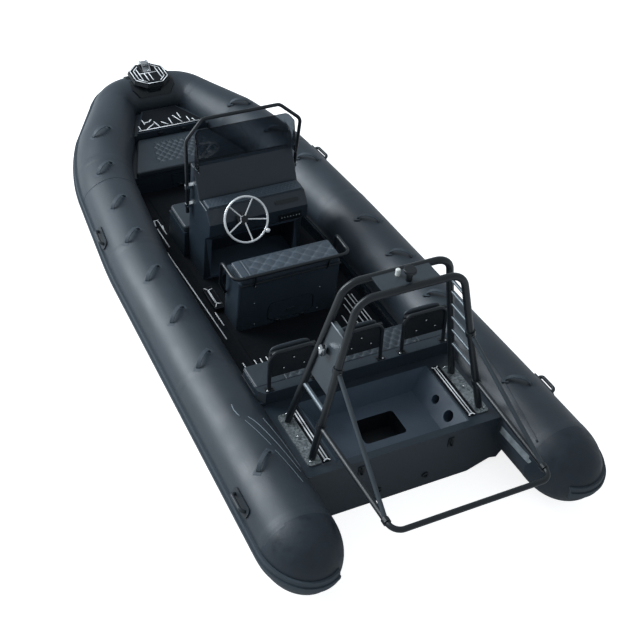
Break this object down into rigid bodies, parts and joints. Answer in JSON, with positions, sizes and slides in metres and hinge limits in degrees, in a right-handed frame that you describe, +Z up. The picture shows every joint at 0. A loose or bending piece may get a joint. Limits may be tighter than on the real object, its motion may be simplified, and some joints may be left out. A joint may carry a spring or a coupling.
{
  "type": "inflatable rib boat",
  "caption": "Black rigid inflatable boat with deep-V hull, round collar, centre console, leaning seat, rear bench and stern arch",
  "frame": {"origin": "at the waterline, on the centreline, at the transom's aft face", "axes": "+Y forward to the bow, +X to starboard, +Z up"},
  "size_m": [2.506, 5.663, 1.9196],
  "materials": {
    "gelcoat": "glossy dark gelcoat",
    "deck_moulding": "satin dark gelcoat, lightly textured",
    "tube_fabric": "satin coated tube fabric",
    "strake_rubber": "matte black rubber",
    "foam_pad": "matte foam with pale grooves",
    "upholstery": "quilted vinyl",
    "black_metal": "powder-coated black",
    "grey_metal": "powder-coated grey",
    "galvanised": "galvanised, spangled",
    "stainless": "polished stainless",
    "black_plastic": "matte",
    "tinted_acrylic": "dark tinted"
  },
  "bodies": {
    "boat": {"hull": "gelcoat", "keel_guard": "strake_rubber", "transom": "gelcoat", "towing_eyes": "stainless", "collar_bow": "tube_fabric", "collar_port": "tube_fabric", "collar_starboard": "tube_fabric", "rub_strake": "strake_rubber", "grab_handles": "strake_rubber", "carry_handles": "strake_rubber", "deck_sole": "deck_moulding", "foam_pads": "foam_pad", "stern_deck": "deck_moulding", "bow_locker": "deck_moulding", "hinge_leaves": "black_metal", "bow_seat_base": "deck_moulding", "bow_seat_cushion": "upholstery", "console_body": "deck_moulding", "dash_pad": "upholstery", "switch_panel": "black_plastic", "windscreen": "tinted_acrylic", "windscreen_rail": "black_metal", "tube_clamps": "stainless", "steering_boss": "black_plastic", "console_seat_base": "deck_moulding", "helm_seat_box": "deck_moulding", "helm_seat_cushion": "upholstery", "helm_seat_rail": "black_metal", "bench_base": "deck_moulding", "backrest_frames": "black_metal", "backrest_panels": "black_plastic", "arch_aft_hoop": "black_metal", "arch_forward_hoop": "black_metal", "arch_base_plates": "galvanised", "arch_rungs": "black_metal", "arch_side_plate": "grey_metal", "arch_horn": "black_plastic", "arch_top_plate": "grey_metal", "arch_lights": "black_plastic", "tow_frame": "black_metal", "tow_struts": "black_metal", "bow_step": "deck_moulding", "anchor_roller": "stainless"},
    "wheel": {"steering_wheel": "stainless"},
    "locker lid": {"bow_locker_lid": "deck_moulding", "bow_locker_pad": "foam_pad"},
    "bow seat door": {"bow_seat_door": "deck_moulding"},
    "console seat": {"console_seat_lid": "deck_moulding", "console_seat_cushion": "upholstery"},
    "helm locker door": {"helm_locker_door": "deck_moulding"},
    "bench seat": {"bench_lid": "deck_moulding", "bench_cushion": "upholstery"}
  },
  "joints": [
    {"name": "steering", "type": "hinge", "parent": "boat", "child": "wheel", "pos_m": [-0.155, 2.262, 0.739], "axis": [0, 0.848, -0.5299], "range_deg": [-540, 540]},
    {"name": "locker_lid_hinge", "type": "hinge", "parent": "boat", "child": "locker lid", "pos_m": [0, 4.1217, 0.346], "axis": [1, 0, 0], "range_deg": [0, 95]},
    {"name": "bow_door_hinge", "type": "hinge", "parent": "boat", "child": "bow seat door", "pos_m": [0, 3.6437, 0.125], "axis": [1, 0, 0], "range_deg": [0, 88]},
    {"name": "console_seat_hinge", "type": "hinge", "parent": "boat", "child": "console seat", "pos_m": [0, 3.075, 0.318], "axis": [-1, 0, 0], "range_deg": [0, 85]},
    {"name": "helm_door_hinge", "type": "hinge", "parent": "boat", "child": "helm locker door", "pos_m": [0, 1.7737, 0.127], "axis": [1, 0, 0], "range_deg": [0, 88]},
    {"name": "bench_seat_hinge", "type": "hinge", "parent": "boat", "child": "bench seat", "pos_m": [0, 0.998, 0.47], "axis": [-1, 0, 0], "range_deg": [0, 80]}
  ]
}
